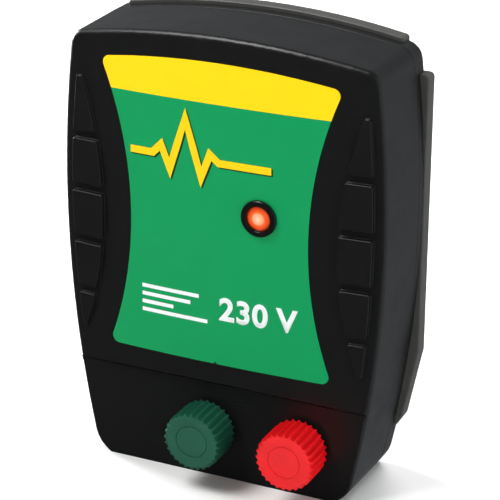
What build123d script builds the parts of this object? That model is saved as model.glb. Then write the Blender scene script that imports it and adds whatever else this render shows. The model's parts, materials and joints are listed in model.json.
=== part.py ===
from build123d import *
from math import asin, atan, cos, degrees, sin
import os

os.makedirs("parts", exist_ok=True)

# Frame: the origin is the middle of the flat underside, +Z is up and the front faces -Y.

# Case outline, seen from the front
case_height = 246.0
case_half_width = 91.0
case_widest_z = 150.0
case_side_radius = 640.0
case_top_radius = 420.0
case_top_corner = 8.5
case_bottom_corner = 19.1
case_foot = -3.3  # the outline runs below the underside, which cuts it flat

# Case depth, from front to wall
front_y = -30.0
seam_y = 16.5
rear_y = 28.5
wall_y = 31.1
crown_radius = 960.0
draft_growth = 0.9
draft_angle = degrees(draft_growth / (seam_y - front_y))
front_edge_radius = 3.0
wall = 2.5

# Raised grip zones at both sides of the front
grip_z = 144.0
grip_waist = 61.5
grip_radius = 215.0
grip_rise = 2.0
grip_half_height = 84.0
grip_mid_x = 76.0
pad_rise = 0.9
pad_margin = 6.0
pad_wall_radius = 210.0
pad_pitch = 29.0
pad_gap = 4.4
pad_first_top = 180.5
pad_top_end = 214.5
pad_bottom_end = 75.0

# Hourglass label
label_top = 232.6
label_bottom = 68.1
label_waist = 50.3
label_side_radius = 210.0
label_top_radius = 410.0
label_corner = 4.0
label_thickness = 0.5
label_recess = 0.4

# Terminal panel below the ledge
ledge_z = 57.0
ledge_drop = 2.5
panel_y = -26.5

# Terminals and their knobs
terminal_z = 30.0
earth_x = -5.4
fence_x = 47.7
stud_radius = 3.95
stud_front_y = -45.0
stud_rear_y = -8.0
collar_radius = 9.5
collar_front_y = -29.8
panel_hole_radius = 5.6
washer_radius = 12.0
washer_thickness = 1.1
contact_gap = 0.1
knob_radius = 16.0
knob_depth = 18.9
knob_teeth = 28
knob_groove_radius = 1.42
knob_face_radius = 8.7
knob_dish = 1.3
insert_radius = 6.0
insert_length = 14.0
nut_across_corners_radius = 7.5
nut_height = 6.5
tag_thickness = 1.0

# Pulse lamp
lamp_x = 23.5
lamp_z = 153.9
bezel_radius = 9.8
bezel_proud = 1.5
bezel_seat_y = front_y + 1.0
lens_radius = 6.75
guide_radius = 3.3
lens_dome = 1.3

# Mains inlet in the underside
inlet_x = -52.0
inlet_y = -4.0
cable_radius = 3.6
gland_radius = 8.0
gland_height = 16.0

# Circuit board, on posts of the rear housing
board_front_y = 12.0
board_thickness = 1.6
board_half_width = 68.0
board_bottom = 103.0
board_top = 212.0
post_x = 62.0
post_low_z = 110.0
post_high_z = 205.0

# Rear housing and wall bracket
back_inner_y = 21.5
back_outer_y = 24.0
flange_front_y = 23.0
plate_front_y = 28.6
pocket_grow = -1.15
wing_half_width = 92.5
wing_top = 224.0
wing_proud = 3.1
top_wing_half_width = 78.3
wall_hole_x = 60.0
wall_hole_low_z = 70.0
wall_hole_high_z = 200.0
wall_hole_radius = 2.7
lock_screw_x = 45.0
lock_screw_y = 26.0

# Screws that close the case
boss_radius = 4.2
boss_points = [(79.0, 212.0), (-79.0, 212.0), (76.0, 52.0), (-76.0, 52.0)]


def front_plane(y):
    """Plane facing the front at depth y, with local x along +X and local y along +Z."""
    return Plane.XZ.offset(-y)


def case_outline(y, grow=0.0, base=0.0):
    """Front outline of the case, grown or shrunk all round, standing on height base."""
    side_x = case_half_width + grow - case_side_radius
    with BuildSketch(front_plane(y)) as outline:
        with Locations((side_x, case_widest_z)):
            Circle(case_side_radius)
        with Locations((-side_x, case_widest_z)):
            Circle(case_side_radius, mode=Mode.INTERSECT)
        with Locations((0, case_height + grow - case_top_radius)):
            Circle(case_top_radius, mode=Mode.INTERSECT)
        with Locations((0, base)):
            Rectangle(400, 400, align=(Align.CENTER, Align.MIN), mode=Mode.INTERSECT)
        fillet(outline.vertices().group_by(Axis.Y)[-1], case_top_corner + grow)
        fillet(outline.vertices().group_by(Axis.Y)[0], case_bottom_corner + grow)
    return outline.sketch


def case_ring(y, outer_inset, inner_inset):
    """Band that follows the case outline at depth y, between two insets from its side."""
    with BuildSketch(front_plane(y)) as ring:
        add(front_plane(y).to_local_coords(case_outline(y, draft_growth - outer_inset, outer_inset)))
        inner = case_outline(y, draft_growth - inner_inset, inner_inset)
        add(front_plane(y).to_local_coords(inner), mode=Mode.SUBTRACT)
    return ring.sketch


def label_outline(y, inset=0.0):
    """Hourglass with a bowed top, concave sides and a straight bottom."""
    with BuildSketch(front_plane(y)) as outline:
        with Locations((0, label_top - inset - label_top_radius)):
            Circle(label_top_radius)
        with Locations((0, label_bottom + inset)):
            Rectangle(150, 200, align=(Align.CENTER, Align.MIN), mode=Mode.INTERSECT)
        for side in (-1, 1):
            with Locations((side * (label_waist + label_side_radius - inset), grip_z)):
                Circle(label_side_radius, mode=Mode.SUBTRACT)
        fillet(outline.vertices().group_by(Axis.Y)[-1], label_corner)
        fillet(outline.vertices().group_by(Axis.Y)[0], label_corner)
    return outline.sketch


def crowned_case(lift):
    """Drafted case with its front bowed about a vertical axis, lifted forward, and its rim rounded."""
    outline = case_outline(seam_y, draft_growth, case_foot)
    with BuildPart() as case:
        extrude(outline, amount=seam_y - front_y + 4, taper=draft_angle)
        with Locations((0, front_y - lift + crown_radius, case_height / 2)):
            Cylinder(crown_radius, 2 * case_height, mode=Mode.INTERSECT)
        fillet(case.faces().sort_by(Axis.Y)[0].outer_wire().edges(), front_edge_radius)
        block((-150, 150), (-80, 80), (-20, 0), Mode.SUBTRACT)
    return case.part


def label_plate(depth, height, growth):
    """Plate bowed like the front, from depth below its skin to height above it."""
    with BuildPart() as plate:
        extrude(label_outline(front_y + 6, -growth), amount=20)
        with Locations((0, front_y + crown_radius, case_height / 2)):
            Cylinder(crown_radius + height, 2 * case_height, mode=Mode.INTERSECT)
            Cylinder(crown_radius - depth, 2 * case_height, mode=Mode.SUBTRACT)
    return plate.part


def grip_surface(side, lift):
    """Large cylinder whose front skin bows out over one grip zone, lifted by lift."""
    radius = grip_half_height ** 2 / (2 * grip_rise)
    tilt = atan(grip_mid_x / crown_radius)
    skin_y = front_y + grip_mid_x ** 2 / (2 * crown_radius) - grip_rise
    centre = (side * (grip_mid_x - radius * sin(tilt)), skin_y + radius * cos(tilt), grip_z)
    with BuildPart() as surface:
        with Locations(Plane(origin=centre, z_dir=(cos(tilt), side * sin(tilt), 0))):
            Cylinder(radius + lift, 400)
    return surface.part


def grip_zone(side):
    """One raised side zone: a bowed lens with a 45 degree wall towards the label."""
    foot_y = front_y + grip_waist ** 2 / (2 * crown_radius)
    half_height = 7.0
    centre = (side * (grip_waist + grip_radius), foot_y, grip_z)
    with BuildPart() as zone:
        add(crowned_case(grip_rise))
        with Locations(Plane(origin=centre, z_dir=(0, -1, 0))):
            Cone(grip_radius + half_height, grip_radius - half_height, 2 * half_height, mode=Mode.INTERSECT)
        add(grip_surface(side, 0), mode=Mode.INTERSECT)
    return zone.part


def grip_pads(side):
    """Five pads on one grip zone: a lens cut into bands by gaps of equal pitch."""
    centre_x = side * (grip_waist + grip_radius)
    tops = [pad_top_end] + [pad_first_top - pad_pitch * i for i in range(4)]
    bottoms = [top + pad_gap for top in tops[1:]] + [pad_bottom_end]
    with BuildPart() as pads:
        with BuildSketch(front_plane(front_y + 8)) as bands:
            with Locations((centre_x, grip_z)):
                Circle(pad_wall_radius)
            outline = case_outline(front_y + 8, -pad_margin, pad_margin)
            add(front_plane(front_y + 8).to_local_coords(outline), mode=Mode.INTERSECT)
            with Locations((0, pad_bottom_end)):
                Rectangle(400, pad_top_end - pad_bottom_end, align=(Align.CENTER, Align.MIN), mode=Mode.INTERSECT)
            for top, low in zip(tops[1:], bottoms):
                with Locations((0, top)):
                    Rectangle(400, low - top, align=(Align.CENTER, Align.MIN), mode=Mode.SUBTRACT)
            fillet(bands.vertices(), 1.0)
        extrude(amount=16)
        add(grip_surface(side, pad_rise), mode=Mode.INTERSECT)
    return pads.part


def cylinder_y(x, z, radius, y_from, y_to, mode=Mode.ADD):
    """Round bar along Y between two depths, inside the current part."""
    with Locations(Plane(origin=(x, y_from, z), x_dir=(1, 0, 0), z_dir=(0, 1, 0))):
        Cylinder(radius, y_to - y_from, align=(Align.CENTER, Align.CENTER, Align.MIN), mode=mode)


def block(x, y, z, mode=Mode.ADD):
    """Box given by its (low, high) pairs along X, Y and Z, inside the current part."""
    with Locations(((x[0] + x[1]) / 2, (y[0] + y[1]) / 2, (z[0] + z[1]) / 2)):
        Box(x[1] - x[0], y[1] - y[0], z[1] - z[0], mode=mode)


def keep(part, name):
    """Label a finished piece and write it."""
    part.part.label = name
    export_step(part.part, f"parts/{name}.step")


# --- Front housing: drafted, crowned and hollow, with grip zones, ledge and terminal panel ---

with BuildPart() as cavity:
    outline = case_outline(seam_y, draft_growth - wall, wall)
    extrude(outline, amount=seam_y - front_y, taper=draft_angle)
    with Locations((0, front_y + crown_radius, case_height / 2)):
        Cylinder(crown_radius - wall, 2 * case_height, mode=Mode.INTERSECT)
    block((-150, 150), (-80, panel_y + wall), (-20, ledge_z + wall), Mode.SUBTRACT)

with BuildPart() as terminal_cut:
    with BuildSketch(Plane.YZ):
        slope_y = -8.0
        slope_z = ledge_drop * slope_y / (front_y - panel_y)
        with BuildLine():
            Polyline(
                (panel_y, -10),
                (panel_y, ledge_z - ledge_drop),
                (panel_y + slope_y, ledge_z - ledge_drop + slope_z),
                (panel_y - 40, ledge_z - ledge_drop + slope_z),
                (panel_y - 40, -10),
                close=True,
            )
        make_face()
    extrude(amount=150, both=True)


with BuildPart() as front_housing:
    add(crowned_case(0))
    for side in (-1, 1):
        add(grip_zone(side))
    add(terminal_cut.part, mode=Mode.SUBTRACT)
    for side in (-1, 1):
        add(grip_pads(side))
    add(cavity.part, mode=Mode.SUBTRACT)
    add(label_plate(label_recess, 4.0, 0.05), mode=Mode.SUBTRACT)
    # Posts for the case screws
    for x, z in boss_points:
        cylinder_y(x, z, boss_radius, front_y + 5, seam_y)
        cylinder_y(x, z, 1.4, seam_y - 22, seam_y, Mode.SUBTRACT)
    # Holes for the lamp, the studs and the mains inlet
    cylinder_y(lamp_x, lamp_z, bezel_radius - 1.6, front_y - 2, front_y + 10, Mode.SUBTRACT)
    cylinder_y(lamp_x, lamp_z, bezel_radius + 0.05, front_y - 2, bezel_seat_y, Mode.SUBTRACT)
    for x in (earth_x, fence_x):
        cylinder_y(x, terminal_z, panel_hole_radius, panel_y - 2, panel_y + 6, Mode.SUBTRACT)
    with Locations((inlet_x, inlet_y, 0)):
        Cylinder(gland_radius + 0.1, 20, mode=Mode.SUBTRACT)
    with Locations((inlet_x, inlet_y, wall)):
        Cylinder(gland_radius + 2.3, 6, align=(Align.CENTER, Align.CENTER, Align.MIN), mode=Mode.SUBTRACT)
    # Groove for the seal
    extrude(case_ring(seam_y, 0.8, 1.8), amount=1.2, mode=Mode.SUBTRACT)
    # Anvil of the cord clamp
    block((inlet_x - 17, inlet_x + 17), (panel_y + wall - 0.5, inlet_y - cable_radius), (22, 30))
keep(front_housing, "front_housing")


# --- Label, seal, rear housing and wall bracket ---

with BuildPart() as front_label:
    add(label_plate(label_recess, label_thickness - label_recess, 0))
    cylinder_y(lamp_x, lamp_z, bezel_radius + 0.05, front_y - 2, front_y + 5, Mode.SUBTRACT)
keep(front_label, "front_label")

with BuildPart() as housing_seal:
    extrude(case_ring(seam_y, 0.8, 1.8), amount=1.2)
keep(housing_seal, "housing_seal")


def bracket_outline(y, growth=0.0):
    """Wall bracket seen from the front: straight side wings, a bowed top wing, open corners."""
    half = wing_half_width + growth
    with BuildSketch(front_plane(y)) as outline:
        with BuildLine():
            Polyline(
                (half, wing_top + growth),
                (half, 71),
                (84.5 + growth, 32),
                (79.5, 24 - growth),
                (-79.5, 24 - growth),
                (-84.5 - growth, 32),
                (-half, 71),
                (-half, wing_top + growth),
                close=True,
            )
        make_face()
        with BuildSketch(mode=Mode.PRIVATE) as top_wing:
            with Locations((0, case_height + wing_proud + growth - case_top_radius)):
                Circle(case_top_radius)
            with Locations((0, 150)):
                Rectangle(
                    2 * (top_wing_half_width + growth),
                    200,
                    align=(Align.CENTER, Align.MIN),
                    mode=Mode.INTERSECT,
                )
            fillet(top_wing.vertices().group_by(Axis.Y)[-1], 2.0)
        add(top_wing.sketch)
        with Locations((0, 6)):
            Rectangle(140, 100, align=(Align.CENTER, Align.MIN))
    return outline.sketch


with BuildPart() as rear_housing:
    extrude(case_outline(rear_y, draft_growth, case_foot), amount=rear_y - seam_y)
    block((-150, 150), (-80, 80), (-20, 0), Mode.SUBTRACT)
    # Room for the bracket's flange
    with BuildPart(mode=Mode.PRIVATE) as flange_room:
        extrude(bracket_outline(rear_y, 0.15), amount=rear_y - flange_front_y + 0.15)
        inner = case_outline(rear_y, pocket_grow - 0.15)
        extrude(inner, amount=rear_y - flange_front_y + 0.15, mode=Mode.SUBTRACT)
    add(flange_room.part, mode=Mode.SUBTRACT)
    # Hollow towards the front and towards the wall
    inside = case_outline(back_inner_y, draft_growth - wall, wall)
    extrude(inside, amount=back_inner_y - seam_y, mode=Mode.SUBTRACT)
    recess = case_outline(rear_y, pocket_grow - 0.15 - wall, wall + 1.5)
    extrude(recess, amount=rear_y - back_outer_y, mode=Mode.SUBTRACT)
    # Lip that enters the front housing
    extrude(case_ring(seam_y + 2.5, 2.0, 3.85), amount=2.5)
    extrude(case_ring(seam_y, 2.65, 3.85), amount=3.0)
    # Posts for the circuit board
    for x in (-post_x, post_x):
        for z in (post_low_z, post_high_z):
            cylinder_y(x, z, 3.5, board_front_y + board_thickness, back_inner_y + 1)
            cylinder_y(x, z, 1.2, board_front_y, back_inner_y + 1, Mode.SUBTRACT)
    # Holes for the case screws and the bracket screws
    for x, z in boss_points:
        cylinder_y(x, z, 1.7, seam_y, rear_y, Mode.SUBTRACT)
    for x in (-lock_screw_x, lock_screw_x):
        with Locations((x, lock_screw_y, 0)):
            CounterSinkHole(1.6, 3.0, 12)
keep(rear_housing, "rear_housing")

with BuildPart() as wall_bracket:
    extrude(bracket_outline(wall_y), amount=wall_y - flange_front_y)
    extrude(case_outline(plate_front_y, pocket_grow), amount=10, mode=Mode.SUBTRACT)
    # Window that saves material behind the case, and the wall screw holes
    with BuildSketch(front_plane(wall_y)) as window:
        with Locations((0, 135)):
            RectangleRounded(84, 84, 8)
    extrude(window.sketch, amount=10, mode=Mode.SUBTRACT)
    for x in (-wall_hole_x, wall_hole_x):
        for z in (wall_hole_low_z, wall_hole_high_z):
            cylinder_y(x, z, wall_hole_radius, plate_front_y - 1, wall_y + 1, Mode.SUBTRACT)
    # Blocks that take the bracket screws from below
    for x in (-lock_screw_x, lock_screw_x):
        block((x - 4, x + 4), (back_outer_y + 0.3, plate_front_y + 0.5), (6, 16))
        with Locations((x, lock_screw_y, 10)):
            Cylinder(1.3, 14, mode=Mode.SUBTRACT)
keep(wall_bracket, "wall_bracket")


# --- Pulse lamp ---

with BuildPart() as lamp_bezel:
    cylinder_y(lamp_x, lamp_z, bezel_radius, front_y - bezel_proud, bezel_seat_y)
    fillet(lamp_bezel.edges().group_by(Axis.Y)[0], 0.9)
    cylinder_y(lamp_x, lamp_z, bezel_radius - 1.7, front_y, front_y + 8)
    cylinder_y(lamp_x, lamp_z, lens_radius, front_y - 5, front_y + 9, Mode.SUBTRACT)
keep(lamp_bezel, "lamp_bezel")

with BuildPart() as lamp_lens:
    rim_radius = lens_radius - 0.05
    dome_radius = (rim_radius ** 2 + lens_dome ** 2) / (2 * lens_dome)
    half_angle = asin(rim_radius / dome_radius) / 2
    top_y = front_y - lens_dome
    with BuildSketch(Plane.XY.offset(lamp_z)) as half:
        with BuildLine():
            Polyline(
                (lamp_x, top_y),
                (lamp_x, front_y + 3.2),
                (lamp_x + rim_radius, front_y + 3.2),
                (lamp_x + rim_radius, front_y),
            )
            ThreePointArc(
                (lamp_x + rim_radius, front_y),
                (lamp_x + dome_radius * sin(half_angle), top_y + dome_radius * (1 - cos(half_angle))),
                (lamp_x, top_y),
            )
        make_face()
    revolve(half.sketch, axis=Axis((lamp_x, 0, lamp_z), (0, 1, 0)))
keep(lamp_lens, "lamp_lens")

with BuildPart() as light_guide:
    cylinder_y(lamp_x, lamp_z, guide_radius, front_y + 3.2, 3.5)
    cylinder_y(lamp_x, lamp_z, guide_radius + 1.2, front_y + 9, front_y + 10.5)
keep(light_guide, "light_guide")

with BuildPart() as pulse_led:
    cylinder_y(lamp_x, lamp_z, 2.5, 4.5, 9.5)
    cylinder_y(lamp_x, lamp_z, 2.9, 9.5, 10.5)
    for shift in (-1.27, 1.27):
        cylinder_y(lamp_x + shift, lamp_z, 0.3, 10.5, board_front_y)
    fillet(pulse_led.edges().group_by(Axis.Y)[0], 2.0)
keep(pulse_led, "pulse_led")


# --- Terminals: stud, collar, nuts and wire tags in the panel, washer and knob outside ---


def terminal_stud(x, name):
    """Threaded stud held in the panel by two nuts."""
    with BuildPart() as stud:
        cylinder_y(x, terminal_z, stud_radius, stud_front_y, stud_rear_y)
        chamfer(stud.edges().filter_by(GeomType.CIRCLE), 0.7)
    keep(stud, name)


def terminal_collar(x, name):
    """Insulating collar: a stepped flange outside the panel and a neck through it."""
    with BuildPart() as collar:
        cylinder_y(x, terminal_z, collar_radius, collar_front_y + 1.2, panel_y)
        cylinder_y(x, terminal_z, collar_radius - 1.5, collar_front_y, panel_y)
        cylinder_y(x, terminal_z, panel_hole_radius - 0.05, panel_y, panel_y + wall)
        cylinder_y(x, terminal_z, stud_radius + 0.05, collar_front_y - 1, 0, Mode.SUBTRACT)
    keep(collar, name)


def clamp_washer(x, name):
    """Captive washer that presses the fence lead against the collar."""
    back_y = collar_front_y - contact_gap
    with BuildPart() as washer:
        cylinder_y(x, terminal_z, washer_radius, back_y - washer_thickness, back_y)
        fillet(washer.edges().group_by(Axis.Y)[0], 0.4)
        cylinder_y(x, terminal_z, stud_radius + 0.4, back_y - 5, back_y + 5, Mode.SUBTRACT)
    keep(washer, name)


def terminal_knob(x, name):
    """Knurled thumb knob: scalloped skirt, chamfered rims, dished face and a blind bore."""
    back_y = collar_front_y - 2 * contact_gap - washer_thickness
    face_y = back_y - knob_depth
    with BuildPart() as knob:
        with BuildSketch(front_plane(back_y)) as skirt:
            with Locations((x, terminal_z)):
                Circle(knob_radius)
            with Locations((x, terminal_z)):
                with PolarLocations(knob_radius + 0.15, knob_teeth):
                    Circle(knob_groove_radius, mode=Mode.SUBTRACT)
        extrude(skirt.sketch, amount=knob_depth)
        with BuildSketch(Plane.XY.offset(terminal_z)) as profile:
            with BuildLine():
                Polyline(
                    (x, back_y),
                    (x + knob_radius - 1.6, back_y),
                    (x + knob_radius + 0.1, back_y - 1.7),
                    (x + knob_radius + 0.1, face_y + 2.2),
                    (x + knob_radius - 2.0, face_y),
                    (x + knob_radius - 2.6, face_y),
                    (x + knob_face_radius, face_y + knob_dish),
                    (x + knob_face_radius, face_y + knob_dish - 0.5),
                    (x, face_y + knob_dish - 0.5),
                    close=True,
                )
            make_face()
        revolve(profile.sketch, axis=Axis((x, 0, terminal_z), (0, 1, 0)), mode=Mode.INTERSECT)
        cylinder_y(x, terminal_z, insert_radius, back_y - insert_length, back_y, Mode.SUBTRACT)
        cylinder_y(x, terminal_z, stud_radius + 0.4, stud_front_y - 1.5, back_y, Mode.SUBTRACT)
    keep(knob, name)


def knob_insert(x, name):
    """Brass insert moulded into the knob, a running fit on the stud."""
    back_y = collar_front_y - 2 * contact_gap - washer_thickness
    with BuildPart() as insert:
        cylinder_y(x, terminal_z, insert_radius, back_y - insert_length, back_y)
        cylinder_y(x, terminal_z, stud_radius + 0.05, back_y - insert_length - 1, back_y + 1, Mode.SUBTRACT)
    keep(insert, name)


for terminal, x in (("earth", earth_x), ("fence", fence_x)):
    terminal_stud(x, f"{terminal}_stud")
    terminal_collar(x, f"{terminal}_collar")
    clamp_washer(x, f"{terminal}_clamp_washer")
    terminal_knob(x, f"{terminal}_knob")
    knob_insert(x, f"{terminal}_knob_insert")

inner_nut_y = panel_y + wall
tag_y = inner_nut_y + nut_height
outer_nut_y = tag_y + tag_thickness

with BuildPart() as terminal_nuts:
    for x in (earth_x, fence_x):
        for nut_y in (inner_nut_y, outer_nut_y):
            with BuildSketch(front_plane(nut_y + nut_height)) as hexagon:
                with Locations((x, terminal_z)):
                    RegularPolygon(nut_across_corners_radius, 6)
            extrude(hexagon.sketch, amount=nut_height)
            cylinder_y(x, terminal_z, stud_radius + 0.05, nut_y - 1, nut_y + nut_height + 1, Mode.SUBTRACT)
keep(terminal_nuts, "terminal_nuts")

with BuildPart() as ring_terminals:
    for x in (earth_x, fence_x):
        cylinder_y(x, terminal_z, 7.0, tag_y, tag_y + tag_thickness)
        block((x - 2.4, x + 2.4), (tag_y, tag_y + tag_thickness), (terminal_z, terminal_z + 13))
        with Locations((x, tag_y + tag_thickness / 2, terminal_z + 16)):
            Cylinder(2.3, 8)
        cylinder_y(x, terminal_z, stud_radius + 0.2, tag_y - 1, tag_y + 3, Mode.SUBTRACT)
keep(ring_terminals, "ring_terminals")


def board_lead(x, name):
    """Insulated lead from a wire tag up to the lower edge of the circuit board."""
    lead_y = tag_y + tag_thickness / 2
    with BuildPart() as lead:
        with BuildLine() as route:
            FilletPolyline(
                (x, lead_y, terminal_z + 20),
                (x, lead_y, board_bottom + 5),
                (x, board_front_y, board_bottom + 5),
                radius=12,
            )
        with BuildSketch(Plane.XY.offset(terminal_z + 20)) as section:
            with Locations((x, lead_y)):
                Circle(1.4)
        sweep(section.sketch, path=route.wires()[0])
    keep(lead, name)


board_lead(earth_x, "earth_lead")
board_lead(fence_x, "fence_lead")


# --- Circuit board and what it carries ---

board_low_y = board_front_y
board_high_y = board_front_y + board_thickness

with BuildPart() as circuit_board:
    block((-board_half_width, board_half_width), (board_low_y, board_high_y), (board_bottom, board_top))
    fillet(circuit_board.edges().filter_by(Axis.Y), 2.0)
    for x in (-post_x, post_x):
        for z in (post_low_z, post_high_z):
            cylinder_y(x, z, 1.6, board_low_y - 1, board_high_y + 1, Mode.SUBTRACT)
keep(circuit_board, "circuit_board")

with BuildPart() as board_screws:
    for x in (-post_x, post_x):
        for z in (post_low_z, post_high_z):
            cylinder_y(x, z, 2.8, board_low_y - 2.0, board_low_y)
            cylinder_y(x, z, 1.2, board_low_y, board_high_y + 6)
            with Locations((x, board_low_y - 2.0, z)):
                Box(4.0, 1.6, 0.8, mode=Mode.SUBTRACT)
keep(board_screws, "board_screws")

with BuildPart() as heat_sink:
    block((-48, -18), (board_low_y - 24, board_low_y - 21.5), (172, 200))
    for i in range(6):
        fin_x = -48 + i * 5.6
        block((fin_x, fin_x + 2.0), (board_low_y - 24, board_low_y - 10), (172, 200))
    block((-35.2, -30.8), (board_low_y - 12, board_low_y), (184, 188))
keep(heat_sink, "heat_sink")

with BuildPart() as thyristor:
    block((-38, -28), (board_low_y - 18, board_low_y - 4), (166.6, 171.9))
    for shift in (-2.54, 0, 2.54):
        block((-33 + shift - 0.4, -33 + shift + 0.4), (board_low_y - 4, board_low_y), (169, 169.6))
    with Locations((-33, board_low_y - 14, 169)):
        Cylinder(1.6, 10, mode=Mode.SUBTRACT)
keep(thyristor, "thyristor")

with BuildPart() as smoothing_capacitors:
    for x in (-52, -34):
        cylinder_y(x, 157, 8.0, board_low_y - 26, board_low_y)
    fillet(smoothing_capacitors.edges().group_by(Axis.Y)[0], 1.2)
keep(smoothing_capacitors, "smoothing_capacitors")

with BuildPart() as rectifier_diodes:
    for i in range(4):
        with Locations(Plane(origin=(-6 + 5.5 * i, board_low_y - 2.2, 186), z_dir=(0, 0, 1))):
            Cylinder(2.0, 8)
            Cylinder(0.5, 14)
        for end in (-6.4, 6.4):
            cylinder_y(-6 + 5.5 * i, 186 + end, 0.4, board_low_y - 2.2, board_low_y)
keep(rectifier_diodes, "rectifier_diodes")

with BuildPart() as charging_resistors:
    for i in range(3):
        x = 30 + 11 * i
        block((x - 3.6, x + 3.6), (board_low_y - 9, board_low_y - 1.5), (176, 202))
        for z in (180, 198):
            cylinder_y(x, z, 0.5, board_low_y - 2, board_low_y)
    fillet(charging_resistors.edges().filter_by(Axis.Z), 0.8)
keep(charging_resistors, "charging_resistors")

with BuildPart() as fuse_clips:
    for z in (123, 141):
        block((-61, -53), (board_low_y - 1, board_low_y), (z - 2.5, z + 2.5))
        for x in (-61, -54.2):
            block((x, x + 1.2), (board_low_y - 8, board_low_y), (z - 2.5, z + 2.5))
keep(fuse_clips, "fuse_clips")

with BuildPart() as mains_fuse:
    with Locations((-56.9, board_low_y - 4.6, 132)):
        Cylinder(2.5, 26)
keep(mains_fuse, "mains_fuse")

with BuildPart() as mains_terminal_block:
    block((-44, -20), (board_low_y - 14, board_low_y), (107, 119))
    for x in (-38, -26):
        cylinder_y(x, 113.5, 2.4, board_low_y - 15, board_low_y - 4, Mode.SUBTRACT)
        with Locations((x, board_low_y - 5, 107)):
            Cylinder(2.2, 10, mode=Mode.SUBTRACT)
keep(mains_terminal_block, "mains_terminal_block")


# --- Pulse transformer and storage capacitor below the board ---

core_x = -40.0
core_y = 1.0
core_z = 77.0

with BuildPart() as transformer_core:
    block((core_x - 30, core_x + 30), (core_y - 11, core_y + 11), (core_z - 24, core_z + 24))
    for shift in (-15.5, 15.5):
        block(
            (core_x + shift - 5.5, core_x + shift + 5.5),
            (core_y - 12, core_y + 12),
            (core_z - 16, core_z + 16),
            Mode.SUBTRACT,
        )
keep(transformer_core, "transformer_core")

with BuildPart() as transformer_bobbin:
    block((core_x - 11.8, core_x + 11.8), (core_y - 13, core_y + 13), (core_z - 15.8, core_z + 15.8))
    for z in (core_z - 15.8, core_z + 14.3):
        block((core_x - 20.8, core_x + 20.8), (core_y - 19.5, core_y + 19.5), (z, z + 1.5))
    block((core_x - 10.1, core_x + 10.1), (core_y - 11.2, core_y + 11.2), (core_z - 20, core_z + 20), Mode.SUBTRACT)
keep(transformer_bobbin, "transformer_bobbin")

with BuildPart() as transformer_winding:
    block((core_x - 20.4, core_x + 20.4), (core_y - 19, core_y + 19), (core_z - 14.2, core_z + 14.2))
    fillet(transformer_winding.edges().filter_by(Axis.Z), 4.0)
    block((core_x - 11.9, core_x + 11.9), (core_y - 13.1, core_y + 13.1), (core_z - 20, core_z + 20), Mode.SUBTRACT)
keep(transformer_winding, "transformer_winding")

with BuildPart() as transformer_strap:
    block((core_x - 31.4, core_x + 31.4), (core_y - 12.4, back_inner_y), (core_z + 17.5, core_z + 23.5))
    block((core_x - 30.1, core_x + 30.1), (core_y - 11.1, back_inner_y + 1), (core_z + 17, core_z + 24), Mode.SUBTRACT)
    for side in (-1, 1):
        x = core_x + side * 35
        block((x - 5, x + 5), (back_inner_y - 1.3, back_inner_y), (core_z + 17.5, core_z + 23.5))
    for side in (-1, 1):
        cylinder_y(core_x + side * 36, core_z + 20.5, 1.8, back_inner_y - 3, back_inner_y + 1, Mode.SUBTRACT)
keep(transformer_strap, "transformer_strap")

can_x = 38.0
can_y = 2.6
can_z = 76.0
can_radius = 17.4

with BuildPart() as storage_capacitor:
    with Locations(Plane(origin=(can_x, can_y, can_z), z_dir=(1, 0, 0))):
        Cylinder(can_radius, 70)
        fillet(storage_capacitor.edges().filter_by(GeomType.CIRCLE), 1.5)
    for z in (can_z - 6, can_z + 6):
        with Locations(Plane(origin=(can_x - 37, can_y, z), z_dir=(1, 0, 0))):
            Cylinder(2.4, 5)
keep(storage_capacitor, "storage_capacitor")

with BuildPart() as capacitor_clip:
    with Locations(Plane(origin=(can_x, can_y, can_z), z_dir=(1, 0, 0))):
        Cylinder(can_radius + 1.3, 12)
    block((can_x - 6, can_x + 6), (can_y + 8, back_inner_y), (can_z - 19.3, can_z + 19.3))
    block((can_x - 6, can_x + 6), (back_inner_y - 1.3, back_inner_y), (can_z - 27, can_z + 26.5))
    with Locations(Plane(origin=(can_x, can_y, can_z), z_dir=(1, 0, 0))):
        Cylinder(can_radius + 0.05, 14, mode=Mode.SUBTRACT)
    for z in (can_z - 23.5, can_z + 23):
        cylinder_y(can_x, z, 1.8, back_inner_y - 3, back_inner_y + 1, Mode.SUBTRACT)
keep(capacitor_clip, "capacitor_clip")

clip_points = [(core_x - 36, core_z + 20.5), (core_x + 36, core_z + 20.5)]
clip_points += [(can_x, can_z - 23.5), (can_x, can_z + 23)]

with BuildPart() as clip_screws:
    for x, z in clip_points:
        cylinder_y(x, z, 2.9, back_inner_y - 3.5, back_inner_y - 1.3)
        cylinder_y(x, z, 1.5, back_inner_y - 1.3, back_inner_y)
keep(clip_screws, "clip_screws")


# --- Mains inlet and the remaining screws ---

with BuildPart() as cable_gland:
    with Locations((inlet_x, inlet_y, 0.3)):
        Cylinder(gland_radius, gland_height, align=(Align.CENTER, Align.CENTER, Align.MIN))
    with Locations((inlet_x, inlet_y, wall + 0.05)):
        Cylinder(gland_radius + 2, 2.5, align=(Align.CENTER, Align.CENTER, Align.MIN))
    chamfer(cable_gland.edges().group_by(Axis.Z)[-1], 1.5)
    with Locations((inlet_x, inlet_y, 0)):
        Cylinder(cable_radius, 60, mode=Mode.SUBTRACT)
keep(cable_gland, "cable_gland")

with BuildPart() as cord_clamp:
    block((inlet_x - 16, inlet_x + 16), (inlet_y + cable_radius, inlet_y + cable_radius + 4), (22, 30))
    fillet(cord_clamp.edges().filter_by(Axis.Y), 1.5)
    for side in (-1, 1):
        cylinder_y(inlet_x + side * 11, 26, 1.7, inlet_y, inlet_y + 12, Mode.SUBTRACT)
keep(cord_clamp, "cord_clamp")

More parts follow.
